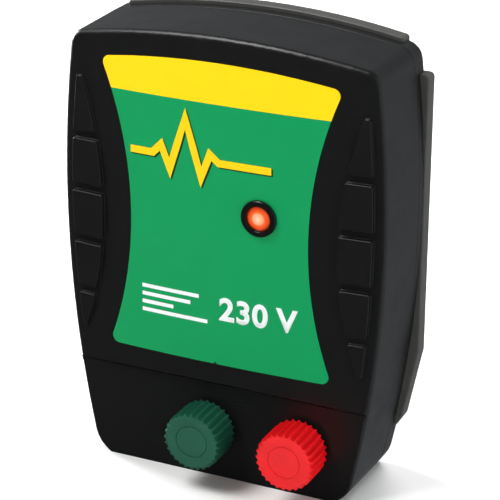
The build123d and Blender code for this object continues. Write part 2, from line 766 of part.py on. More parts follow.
with BuildPart() as clamp_screws:
    for side in (-1, 1):
        x = inlet_x + side * 11
        cylinder_y(x, 26, 3.0, inlet_y + cable_radius + 4, inlet_y + cable_radius + 6.2)
        cylinder_y(x, 26, 1.4, inlet_y - cable_radius, inlet_y + cable_radius + 4)
keep(clamp_screws, "clamp_screws")

with BuildPart() as case_screws:
    for x, z in boss_points:
        cylinder_y(x, z, 3.1, back_outer_y, back_outer_y + 2.2)
        cylinder_y(x, z, 1.4, seam_y - 14, back_outer_y)
        with Locations((x, back_outer_y + 2.2, z)):
            Box(4.4, 1.8, 0.9, mode=Mode.SUBTRACT)
            Box(0.9, 1.8, 4.4, mode=Mode.SUBTRACT)
keep(case_screws, "case_screws")

with BuildPart() as bracket_screws:
    for x in (-lock_screw_x, lock_screw_x):
        with Locations((x, lock_screw_y, 0.2)):
            Cylinder(1.3, 13, align=(Align.CENTER, Align.CENTER, Align.MIN))
            Cone(2.6, 1.3, 1.3, align=(Align.CENTER, Align.CENTER, Align.MIN))
keep(bracket_screws, "bracket_screws")
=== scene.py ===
import json
from math import cos, pi, radians, sin, sqrt

import bmesh
import bpy
from bpy.props import FloatProperty, FloatVectorProperty, IntProperty, PointerProperty, StringProperty
from mathutils import Matrix, Vector

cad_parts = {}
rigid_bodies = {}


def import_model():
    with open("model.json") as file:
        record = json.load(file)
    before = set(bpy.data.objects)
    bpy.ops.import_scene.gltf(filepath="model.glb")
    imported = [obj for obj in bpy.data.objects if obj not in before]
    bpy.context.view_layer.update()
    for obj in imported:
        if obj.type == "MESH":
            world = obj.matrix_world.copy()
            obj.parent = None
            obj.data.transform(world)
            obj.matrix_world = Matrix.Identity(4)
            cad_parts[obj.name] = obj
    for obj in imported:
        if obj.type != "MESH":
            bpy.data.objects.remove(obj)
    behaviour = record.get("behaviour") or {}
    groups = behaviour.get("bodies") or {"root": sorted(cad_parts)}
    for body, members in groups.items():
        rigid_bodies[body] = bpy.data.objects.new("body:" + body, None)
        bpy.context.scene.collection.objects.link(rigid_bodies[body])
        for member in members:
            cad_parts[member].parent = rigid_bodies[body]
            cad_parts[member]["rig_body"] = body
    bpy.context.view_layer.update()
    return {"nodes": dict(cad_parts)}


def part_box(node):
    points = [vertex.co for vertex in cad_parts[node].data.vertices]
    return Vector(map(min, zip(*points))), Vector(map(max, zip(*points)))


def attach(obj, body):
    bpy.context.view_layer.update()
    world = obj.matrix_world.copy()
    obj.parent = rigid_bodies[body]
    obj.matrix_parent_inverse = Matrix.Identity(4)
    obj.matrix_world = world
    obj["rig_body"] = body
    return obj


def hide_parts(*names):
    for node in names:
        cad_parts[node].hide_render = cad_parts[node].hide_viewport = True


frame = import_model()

bl_info = {
    "name": "Fence Energizer",
    "version": (1, 0, 0),
    "blender": (4, 5, 0),
    "location": "3D View > Sidebar > Energizer",
    "description": "Wall-hung mains fence energizer with a pulse lamp and two terminal knobs",
    "category": "Add Mesh",
}

MM = 0.001


# --- Places read from the frame ---


def middle(node):
    """Middle of a CAD node's box."""
    low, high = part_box(node)
    return (low + high) / 2


def radius_of(node):
    """Radius of a round node seen from the front."""
    low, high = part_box(node)
    return (high.x - low.x) / 2


lamp_centre = middle("lamp_lens")
# The front is bowed across: this is the bow's radius, and the depth of its middle
crown_radius = 0.960
front_y = -0.030


def skin_y(x):
    """Depth of the bowed front at a distance x from the middle."""
    return front_y + x * x / (2 * crown_radius)


# The film stands this far proud of the case, and the print starts this deep in the film
film_rise = 0.1 * MM
print_root = 0.1 * MM


def label_skin(x):
    """Depth of the label film's face at a distance x from the middle."""
    return skin_y(x) - film_rise


# --- Sizes and colours a user would change ---


def length_property(name, description, millimetres):
    """Length setting whose default is given in millimetres."""
    return FloatProperty(name=name, description=description, default=millimetres * MM, unit="LENGTH")


def linear(hex_text):
    """sRGB hex value as a linear colour."""
    channels = [int(hex_text[i:i + 2], 16) / 255 for i in (1, 3, 5)]
    return (*[c / 12.92 if c <= 0.04045 else ((c + 0.055) / 1.055) ** 2.4 for c in channels], 1.0)


def colour_property(name, description, hex_text):
    """Colour setting whose default is an sRGB hex value."""
    return FloatVectorProperty(
        name=name, description=description, subtype="COLOR", size=4, min=0, max=1, default=linear(hex_text))


class ENERGIZER_PG_sizes(bpy.types.PropertyGroup):
    """Sizes of the finish, the printed front and the knobs' ridges"""

    shell_edge: length_property("Shell edge", "Rounding of the moulded edges", 0.45)
    shell_grain: length_property("Shell grain", "Size of the spark-eroded grain", 0.7)
    band_height: length_property("Band line", "Height of the line under the yellow band", 210.9)
    print_lift: length_property("Print lift", "How far the print stands on the film", 0.07)
    trace_width: length_property("Pulse trace", "Width of the pulse trace's line", 4.0)
    rating_height: length_property("Rating", "Height of the rating's figures", 12.6)
    rating: StringProperty(name="Rating text", description="Mains rating on the front", default="230 V")
    knob_teeth: IntProperty(name="Knob ridges", description="Ridges round a terminal knob", default=28)
    knob_valley: length_property("Knob valley", "Depth of the valleys between the ridges", 1.8)
    knob_growth: length_property(
        "Ridge height", "How far the ridges stand past the knob's nominal radius", 0.4)


class ENERGIZER_PG_colours(bpy.types.PropertyGroup):
    """Colours of the energizer"""

    shell: colour_property("Shell", "Black ABS of the case", "#141414")
    bracket: colour_property("Bracket", "Dark grey ABS of the wall bracket", "#464643")
    film_green: colour_property("Label green", "Green field of the label", "#009253")
    film_yellow: colour_property("Label yellow", "Yellow band of the label", "#FACF00")
    print_white: colour_property("Print white", "White print", "#E4EAEA")
    print_shadow: colour_property("Print shadow", "Dark edge of the pulse trace", "#10361F")
    earth: colour_property("Earth knob", "Green of the earth knob", "#1C5A45")
    fence: colour_property("Fence knob", "Red of the fence knob", "#E8141C")


# --- Materials ---


def add_node(tree, kind, settings=None, inputs=None):
    """Add a node with its settings, and its inputs as values or links."""
    made = tree.nodes.new(kind)
    for name, value in (settings or {}).items():
        setattr(made, name, value)
    for name, value in (inputs or {}).items():
        if isinstance(value, bpy.types.NodeSocket):
            tree.links.new(value, made.inputs[name])
        else:
            made.inputs[name].default_value = value
    return made


def new_material(name, shader):
    """Material with one Principled shader. shader(tree) gives its inputs."""
    material = bpy.data.materials.new(name)
    material.use_nodes = True
    tree = material.node_tree
    tree.nodes.clear()
    principled = add_node(tree, "ShaderNodeBsdfPrincipled", inputs=shader(tree))
    add_node(tree, "ShaderNodeOutputMaterial", inputs={"Surface": principled.outputs["BSDF"]})
    return material


def noise(tree, size, detail=2.0, stretch=(1, 1, 1)):
    """Noise in object space whose features are size metres across."""
    place = add_node(tree, "ShaderNodeTexCoord")
    mapping = add_node(
        tree, "ShaderNodeMapping", inputs={"Vector": place.outputs["Object"], "Scale": stretch})
    return add_node(
        tree, "ShaderNodeTexNoise",
        inputs={"Vector": mapping.outputs["Vector"], "Scale": 1 / size, "Detail": detail})


def varied(tree, size, low, high):
    """Value that wanders between low and high over patches of the given size."""
    source = noise(tree, size)
    # Most of the noise lies between these two values
    least, most = 0.3, 0.7
    spread = add_node(
        tree, "ShaderNodeMapRange",
        inputs={"Value": source.outputs["Fac"], "From Min": least, "From Max": most, "To Min": low,
                "To Max": high})
    return spread.outputs["Result"]


def tinted(tree, colour, size, amount):
    """Colour that grows a little lighter and darker over patches of the given size."""
    light = varied(tree, size, 1 - amount, 1 + amount)
    shift = add_node(
        tree, "ShaderNodeMix", {"data_type": "RGBA", "blend_type": "MULTIPLY"},
        {0: 1.0, 6: tuple(colour), 7: light})
    return shift.outputs[2]


def bump(tree, size, height, stretch=(1, 1, 1)):
    """Relief of the given height whose grain is size metres across."""
    grain = noise(tree, size, 3.0, stretch)
    raised = add_node(tree, "ShaderNodeBump", inputs={"Height": grain.outputs["Fac"], "Distance": height})
    return raised.outputs["Normal"]


def moulded_plastic(name, colour, rough, grain, relief, specular=0.5):
    """Injection moulded plastic: even colour, a fine grain from the tool and slightly uneven gloss.
    The grain is drawn coarser than the real one, so that it shows."""
    return new_material(name, lambda tree: {
        "Base Color": tinted(tree, colour, 9 * MM, 0.06),
        "Roughness": varied(tree, 14 * MM, rough - 0.04, rough + 0.04),
        "Normal": bump(tree, grain, relief),
        "Specular IOR Level": specular,
        "IOR": 1.53,
    })


def metal(name, colour, rough, stretch=(1, 1, 1)):
    """Bare or plated metal with fine streaks left by forming."""
    return new_material(name, lambda tree: {
        "Base Color": tinted(tree, colour, 3 * MM, 0.08),
        "Metallic": 1.0,
        "Roughness": varied(tree, 1.5 * MM, rough - 0.07, rough + 0.07),
        "Normal": bump(tree, 0.5 * MM, 0.02 * MM, stretch=stretch),
    })


def printed_film(name, colour):
    """Polycarbonate label film printed from behind: flat colour under a satin skin with a slight orange
    peel, drawn coarser than the real one."""
    return new_material(name, lambda tree: {
        "Base Color": tinted(tree, colour, 25 * MM, 0.015),
        "Roughness": varied(tree, 12 * MM, 0.36, 0.44),
        "Normal": bump(tree, 1.6 * MM, 0.012 * MM),
        "Specular IOR Level": 0.12,
        "IOR": 1.58,
    })


def make_materials(sizes, colours):
    """All materials by name. A plastic is given by its colour, roughness, grain and relief."""
    return {
        # Spark-eroded tools leave a satin skin, and polished tools a glossy one
        "abs_shell": moulded_plastic(
            "black_abs_eroded", colours.shell, 0.36, sizes.shell_grain, 0.03 * MM, 0.42),
        "bracket": moulded_plastic("grey_abs", colours.bracket, 0.45, sizes.shell_grain, 0.03 * MM, 0.40),
        "abs_smooth": moulded_plastic("black_abs_polished", linear("#101010"), 0.22, 2 * MM, 0.01 * MM, 0.4),
        # Film and inks: even colour under one satin skin
        "film_green": printed_film("polycarbonate_film_green", colours.film_green),
        "film_yellow": printed_film("polycarbonate_film_yellow", colours.film_yellow),
        "ink_white": printed_film("screen_ink_white", colours.print_white),
        "ink_yellow": printed_film("screen_ink_yellow", linear("#EFC800")),
        "ink_dark": printed_film("screen_ink_dark", colours.print_shadow),
        # Polyamide is satin too, with a shallower grain than the case, and rubber hardly shines
        "knob_green": moulded_plastic("polyamide_green", colours.earth, 0.42, 0.9 * MM, 0.02 * MM, 0.45),
        "knob_red": moulded_plastic("polyamide_red", colours.fence, 0.42, 0.9 * MM, 0.02 * MM, 0.35),
        "rubber": moulded_plastic("epdm_rubber", linear("#0E0E0E"), 0.75, 0.8 * MM, 0.05 * MM, 0.3),
        # Metals keep fine streaks, which are long where they are extruded and thin where sheets are stacked
        "zinc": metal("zinc_plated_steel", linear("#C9CBCE"), 0.30),
        "brass": metal("turned_brass", linear("#C9A24A"), 0.28),
        "aluminium": metal("extruded_aluminium", linear("#D5D7DA"), 0.38, (1, 1, 0.1)),
        "core": metal("lacquered_core_sheet", linear("#4A4C52"), 0.5, (1, 12, 1)),
        # Tape and laminate have a sheen, ceramic is dull and pale, and moulded epoxy is satin black
        "tape": moulded_plastic("polyester_tape", linear("#D9B52C"), 0.3, 3 * MM, 0.05 * MM),
        "board": moulded_plastic("glass_epoxy_laminate", linear("#1E6B36"), 0.3, 0.6 * MM, 0.03 * MM),
        "ceramic": moulded_plastic("white_ceramic", linear("#DAD6CC"), 0.55, 0.5 * MM, 0.04 * MM),
        "epoxy": moulded_plastic("black_epoxy_case", linear("#1B1B1D"), 0.45, 0.5 * MM, 0.03 * MM),
    }


def lamp_glow():
    """Tinted acrylic lens lit from behind: pale where the light guide ends and deeper towards the rim."""
    stops = [(0.0, "#F7C3A2"), (0.42, "#F59A6E"), (0.56, "#EE5A22"), (0.86, "#E24A18"), (1.0, "#7A1D0C")]

    def shader(tree):
        place = add_node(tree, "ShaderNodeTexCoord")
        shifted = add_node(
            tree, "ShaderNodeMapping",
            inputs={"Vector": place.outputs["Object"], "Location": (-lamp_centre.x, 0, -lamp_centre.z)})
        flat = add_node(
            tree, "ShaderNodeVectorMath", {"operation": "MULTIPLY"},
            {0: shifted.outputs["Vector"], 1: (1, 0, 1)})
        distance = add_node(
            tree, "ShaderNodeVectorMath", {"operation": "LENGTH"}, {0: flat.outputs["Vector"]})
        ramp = add_node(tree, "ShaderNodeValToRGB")
        share = add_node(
            tree, "ShaderNodeMath", {"operation": "DIVIDE"},
            {0: distance.outputs["Value"], 1: radius_of("lamp_lens")})
        tree.links.new(share.outputs["Value"], ramp.inputs["Fac"])
        while len(ramp.color_ramp.elements) < len(stops):
            ramp.color_ramp.elements.new(0.5)
        for element, (position, shade) in zip(ramp.color_ramp.elements, stops):
            element.position = position
            element.color = linear(shade)
        return {
            "Base Color": ramp.outputs["Color"],
            "Emission Color": ramp.outputs["Color"],
            "Emission Strength": 0.12,
            "Roughness": 0.12,
            "IOR": 1.49,
            "Coat Weight": 0.6,
            "Coat Roughness": 0.04,
        }

    return new_material("tinted_acrylic_lens", shader)


def clear_acrylic():
    """Cast acrylic: clear and polished."""
    return new_material("clear_acrylic", lambda tree: {
        "Base Color": linear("#F6E9E0"),
        "Transmission Weight": 0.9,
        "Roughness": varied(tree, 5 * MM, 0.06, 0.14),
        "IOR": 1.49,
    })


# --- Mesh helpers ---

# Corners nearer than this are one corner
weld = 0.002 * MM
# Faces that meet at a smaller angle than this are one flat face
flat_degrees = 0.2
# A moulded or turned edge looks crisp above the first angle and is rounded above the second
crisp_degrees = 28
rounded_degrees = 40


def new_object(name, mesh, *materials):
    """Put a mesh in the scene under a name with its materials."""
    mesh.name = name
    piece = bpy.data.objects.new(name, mesh)
    bpy.context.scene.collection.objects.link(piece)
    mesh.materials.clear()
    for material in materials:
        mesh.materials.append(material)
    return piece


def apply_modifiers(piece):
    """Turn a piece and its modifiers into one plain mesh."""
    graph = bpy.context.evaluated_depsgraph_get()
    mesh = bpy.data.meshes.new_from_object(
        piece.evaluated_get(graph), preserve_all_data_layers=True, depsgraph=graph)
    piece.modifiers.clear()
    piece.data = mesh
    mesh.name = piece.name


def smooth_by_angle(mesh, degrees):
    """Shade smooth, with edges sharper than the angle kept crisp."""
    edit = bmesh.new()
    edit.from_mesh(mesh)
    for face in edit.faces:
        face.smooth = True
    for edge in edit.edges:
        edge.smooth = len(edge.link_faces) == 2 and edge.calc_face_angle(0) < radians(degrees)
    edit.to_mesh(mesh)
    edit.free()


def refined(node, material, edge=0.0, segments=2, shape=None):
    """Copy of a CAD node with its loose triangles merged, its edges rounded and its shading smoothed.
    shape(edit) may round single edges first."""
    mesh = frame["nodes"][node].data.copy()
    edit = bmesh.new()
    edit.from_mesh(mesh)
    bmesh.ops.remove_doubles(edit, verts=edit.verts, dist=weld)
    bmesh.ops.dissolve_limit(edit, angle_limit=radians(flat_degrees), verts=edit.verts, edges=edit.edges)
    if shape:
        shape(edit)
    edit.to_mesh(mesh)
    edit.free()
    while mesh.color_attributes:
        mesh.color_attributes.remove(mesh.color_attributes[0])
    if mesh.has_custom_normals:
        mesh.attributes.remove(mesh.attributes["custom_normal"])
    piece = new_object(f"{node}_finish", mesh, material)
    smooth_by_angle(mesh, crisp_degrees)
    if edge:
        bevel = piece.modifiers.new("edge", "BEVEL")
        bevel.width = edge
        bevel.segments = segments
        bevel.limit_method = "ANGLE"
        bevel.angle_limit = radians(rounded_degrees)
        bevel.use_clamp_overlap = False
    weighted = piece.modifiers.new("normals", "WEIGHTED_NORMAL")
    weighted.keep_sharp = True
    apply_modifiers(piece)
    finish_piece(piece, frame["nodes"][node]["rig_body"], node)


def finish_piece(piece, body, *nodes):
    """Let a piece ride on its body in place of CAD nodes, which are hidden."""
    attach(piece, body)
    if nodes:
        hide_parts(*nodes)


def lathe(profile, steps, centre, wobble=None):
    """Closed mesh turned about a line along Y through centre. profile holds (radius, depth) pairs, the
    first and last on the line. wobble(angle, row) scales the radius."""
    mesh = bpy.data.meshes.new("lathe")
    edit = bmesh.new()
    rows = []
    for row, (radius, depth) in enumerate(profile):
        if radius == 0:
            rows.append([edit.verts.new((centre.x, depth, centre.z))])
            continue
        ring = []
        for step in range(steps):
            angle = 2 * pi * step / steps
            reach = radius * (wobble(angle, row) if wobble else 1)
            place = (centre.x + reach * cos(angle), depth, centre.z + reach * sin(angle))
            ring.append(edit.verts.new(place))
        rows.append(ring)
    for first, second in zip(rows, rows[1:]):
        for step in range(steps):
            after = (step + 1) % steps
            corners = [first[step % len(first)], first[after % len(first)],
                       second[after % len(second)], second[step % len(second)]]
            unique = list(dict.fromkeys(corners))
            if len(unique) > 2:
                edit.faces.new(unique)
    bmesh.ops.recalc_face_normals(edit, faces=edit.faces)
    edit.to_mesh(mesh)
    edit.free()
    return mesh


def round_wings(edit):
    """Round the outer front edges of the bracket's wings, and the corners at their tops."""
    low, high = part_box("wall_bracket")
    centre = (low + high) / 2
    wing_tops, near = 0.22, 0.1 * MM
    corner_round, edge_round = 2.5 * MM, 1.2 * MM
    corners = [
        edge for edge in edit.edges
        if all(abs(v.co.x) > high.x - near and v.co.z > wing_tops for v in edge.verts)
        and abs(edge.verts[0].co.z - edge.verts[1].co.z) < near]
    bmesh.ops.bevel(edit, geom=corners, offset=corner_round, segments=4, profile=0.5, affect="EDGES")
    front = []
    for edge in edit.edges:
        if all(v.co.y < low.y + near / 2 for v in edge.verts):
            sides = [face for face in edge.link_faces if abs(face.normal.y) < 0.5]
            reach = (edge.verts[0].co + edge.verts[1].co) / 2 - centre
            if sides and sides[0].normal.dot(reach) > 0:
                front.append(edge)
    bmesh.ops.bevel(edit, geom=front, offset=edge_round, segments=3, profile=0.5, affect="EDGES")


def islands(node):
    """Boxes of the separate solids of a CAD node, from the bottom up and from left to right."""
    edit = bmesh.new()
    edit.from_mesh(frame["nodes"][node].data)
    bmesh.ops.remove_doubles(edit, verts=edit.verts, dist=weld)
    unseen = set(edit.verts)
    boxes = []
    while unseen:
        stack, group = [unseen.pop()], []
        while stack:
            vertex = stack.pop()
            group.append(vertex.co.copy())
            for edge in vertex.link_edges:
                other = edge.other_vert(vertex)
                if other in unseen:
                    unseen.discard(other)
                    stack.append(other)
        boxes.append((Vector([min(c[i] for c in group) for i in range(3)]),
                      Vector([max(c[i] for c in group) for i in range(3)])))
    edit.free()
    return sorted(boxes, key=lambda box: (round(box[0].z, 4), round(box[0].x, 4)))


def repeater():
    """Geometry tree that sets one object on every point of the modifier's mesh and gives it a material."""
    tree = bpy.data.node_groups.new("repeat_on_points", "GeometryNodeTree")
    for name, kind, way in (
            ("Geometry", "NodeSocketGeometry", "INPUT"), ("Piece", "NodeSocketObject", "INPUT"),
            ("Turn", "NodeSocketRotation", "INPUT"), ("Material", "NodeSocketMaterial", "INPUT"),
            ("Geometry", "NodeSocketGeometry", "OUTPUT")):
        tree.interface.new_socket(name, in_out=way, socket_type=kind)
    given = add_node(tree, "NodeGroupInput")
    source = add_node(tree, "GeometryNodeObjectInfo", inputs={"Object": given.outputs["Piece"]})
    copies = add_node(
        tree, "GeometryNodeInstanceOnPoints",
        inputs={"Points": given.outputs["Geometry"], "Instance": source.outputs["Geometry"],
                "Rotation": given.outputs["Turn"]})
    real = add_node(tree, "GeometryNodeRealizeInstances", inputs={"Geometry": copies.outputs["Instances"]})
    painted = add_node(
        tree, "GeometryNodeSetMaterial",
        inputs={"Geometry": real.outputs["Geometry"], "Material": given.outputs["Material"]})
    add_node(tree, "NodeGroupOutput", inputs={"Geometry": painted.outputs["Geometry"]})
    return tree


def repeat(name, points, mesh, turn, material):
    """One plain mesh that holds a copy of mesh on every point, turned by the angles in turn."""
    tree = bpy.data.node_groups.get("repeat_on_points") or repeater()
    source = bpy.data.objects.new(f"{name}_source", mesh)
    dots = bpy.data.meshes.new(f"{name}_points")
    dots.from_pydata([tuple(point) for point in points], [], [])
    piece = new_object(name, dots)
    copies = piece.modifiers.new("repeat", "NODES")
    copies.node_group = tree
    values = {"Piece": source, "Turn": turn, "Material": material}
    for socket in tree.interface.items_tree:
        if socket.in_out == "INPUT" and socket.name in values:
            copies[socket.identifier] = values[socket.name]
    apply_modifiers(piece)
    bpy.data.objects.remove(source)
    smooth_by_angle(piece.data, 30)
    return piece


def screw_mesh(head_radius, head_height, shank_radius, length):
    """Pan-head screw with a six-lobed recess, its head's seat at the origin and its tip along +Y."""
    crown = 0.35 * head_height
    recess = 0.5 * head_radius
    recess_floor, top = -crown, -head_height
    steps, lobe_count, lobe_depth = 48, 6, 0.16
    # Radius, depth, and 1 where the lobes cut in, from the recess's floor over the head to the tip
    rows = [
        (0, recess_floor, 0), (recess * 0.9, recess_floor, 1), (recess, top, 1),
        (recess * 1.15, top, 0), (head_radius * 0.8, top, 0),
        (head_radius * 0.95, top + crown * 0.5, 0), (head_radius, top + crown * 1.2, 0),
        (head_radius, 0, 0), (shank_radius, 0, 0), (shank_radius, length * 0.92, 0),
        (shank_radius * 0.6, length, 0), (0, length, 0),
    ]

    def lobes(angle, row):
        return 1 - lobe_depth * rows[row][2] * (1 + cos(lobe_count * angle)) / 2

    return lathe([row[:2] for row in rows], steps, Vector((0, 0, 0)), lobes)


# --- Operators, one for each group of pieces ---

# Filled by main, once the settings are there
materials = {}


class ENERGIZER_OT_stage(bpy.types.Operator):
    """Camera, pale floor and soft studio light"""

    bl_idname = "energizer.stage"
    bl_label = "Stage"

    def execute(self, context):
        scene = context.scene
        scene.view_settings.view_transform = "Standard"
        scene.view_settings.look = "None"
        target = Vector((18.7 * MM, front_y, 136.0 * MM))
        self.aim_camera(scene, target)
        self.lay_floor()
        scene.world = self.air()
        # Name, place, width and height, watts, and whether it shows in reflections. The key and the strip
        # light the rims, and the fills leave no reflection
        panels = [
            ("key_panel", (-0.55, -0.60, 1.40), (0.7, 0.7), 19, True),
            ("front_fill", (0.35, -1.7, 0.6), (1.0, 1.0), 5.5, False),
            ("right_fill", (1.5, -0.35, 0.55), (0.8, 0.8), 8, False),
            ("back_fill", (0.3, 1.7, 2.2), (1.6, 1.6), 75, False),
            ("left_strip", (-1.3, 0.32, 0.42), (0.3, 0.8), 26, True),
        ]
        for name, place, size, watts, reflected in panels:
            self.light(scene, name, Vector(place), target, size, watts, reflected)
        return {"FINISHED"}

    def aim_camera(self, scene, target):
        """Long lens from the front right and above, turned a little about its own line of sight."""
        azimuth, elevation, roll = radians(25.09), radians(22.19), radians(-0.39)
        distance = 1119.9 * MM
        back = Vector((sin(azimuth) * cos(elevation), -cos(azimuth) * cos(elevation), sin(elevation)))
        camera = bpy.data.objects.new("studio_camera", bpy.data.cameras.new("studio_camera"))
        scene.collection.objects.link(camera)
        camera.data.sensor_width = 36.0
        camera.data.lens = 158.4
        camera.data.clip_start = 0.05
        camera.data.clip_end = 60
        turn = (-back).to_track_quat("-Z", "Y").to_matrix().to_4x4() @ Matrix.Rotation(-roll, 4, "Z")
        camera.matrix_world = Matrix.Translation(target + back * distance) @ turn
        scene.camera = camera

    def lay_floor(self):
        """Pale paper floor, kept out of reflections so that the black case stays black."""
        half_width = 14
        floor_mesh = bpy.data.meshes.new("studio_floor")
        edit = bmesh.new()
        bmesh.ops.create_grid(edit, x_segments=2, y_segments=2, size=half_width)
        edit.to_mesh(floor_mesh)
        edit.free()
        paper = new_material("seamless_paper", lambda tree: {
            "Base Color": tinted(tree, linear("#F4F4F3"), 0.4, 0.01),
            "Roughness": 0.9,
            "Specular IOR Level": 0.1,
        })
        floor = new_object("studio_floor", floor_mesh, paper)
        floor.visible_glossy = False

    def air(self):
        """Cool surrounding light that grows towards the back and the right."""
        world = bpy.data.worlds.new("studio_air")
        world.use_nodes = True
        tree = world.node_tree
        tree.nodes.clear()
        sky = add_node(tree, "ShaderNodeTexCoord")
        side = add_node(tree, "ShaderNodeSeparateXYZ", inputs={"Vector": sky.outputs["Generated"]})
        behind = add_node(
            tree, "ShaderNodeMapRange", {"interpolation_type": "SMOOTHSTEP"},
            {"Value": side.outputs["Y"], "From Min": 0.1, "From Max": 0.95, "To Min": 0.05, "To Max": 0.27})
        right = add_node(
            tree, "ShaderNodeMapRange", {"interpolation_type": "SMOOTHSTEP"},
            {"Value": side.outputs["X"], "From Min": 0.45, "From Max": 0.9, "To Min": 0.0, "To Max": 0.5})
        level = add_node(
            tree, "ShaderNodeMath", {"operation": "ADD"},
            {0: behind.outputs["Result"], 1: right.outputs["Result"]})
        background = add_node(
            tree, "ShaderNodeBackground",
            inputs={"Color": (0.92, 0.96, 1.0, 1.0), "Strength": level.outputs["Value"]})
        add_node(tree, "ShaderNodeOutputWorld", inputs={"Surface": background.outputs["Background"]})
        return world

    def light(self, scene, name, place, target, size, watts, reflected):
        """Panel of the given size at a place, aimed at the target."""
        lamp = bpy.data.lights.new(name, "AREA")
        lamp.shape = "RECTANGLE"
        lamp.size, lamp.size_y = size
        lamp.energy = watts
        holder = bpy.data.objects.new(name, lamp)
        scene.collection.objects.link(holder)
        holder.location = place
        holder.rotation_mode = "QUATERNION"
        holder.rotation_quaternion = (target - place).to_track_quat("-Z", "Y")
        holder.visible_glossy = reflected


class ENERGIZER_OT_case(bpy.types.Operator):
    """Black case shells with their seal, and the grey wall bracket"""

    bl_idname = "energizer.case"
    bl_label = "Case"

    def execute(self, context):
        sizes = context.scene.energizer_sizes
        refined("front_housing", materials["abs_shell"], sizes.shell_edge, 3)
        refined("rear_housing", materials["abs_shell"], sizes.shell_edge)
        refined("wall_bracket", materials["bracket"], sizes.shell_edge, shape=round_wings)
        refined("housing_seal", materials["rubber"])
        return {"FINISHED"}


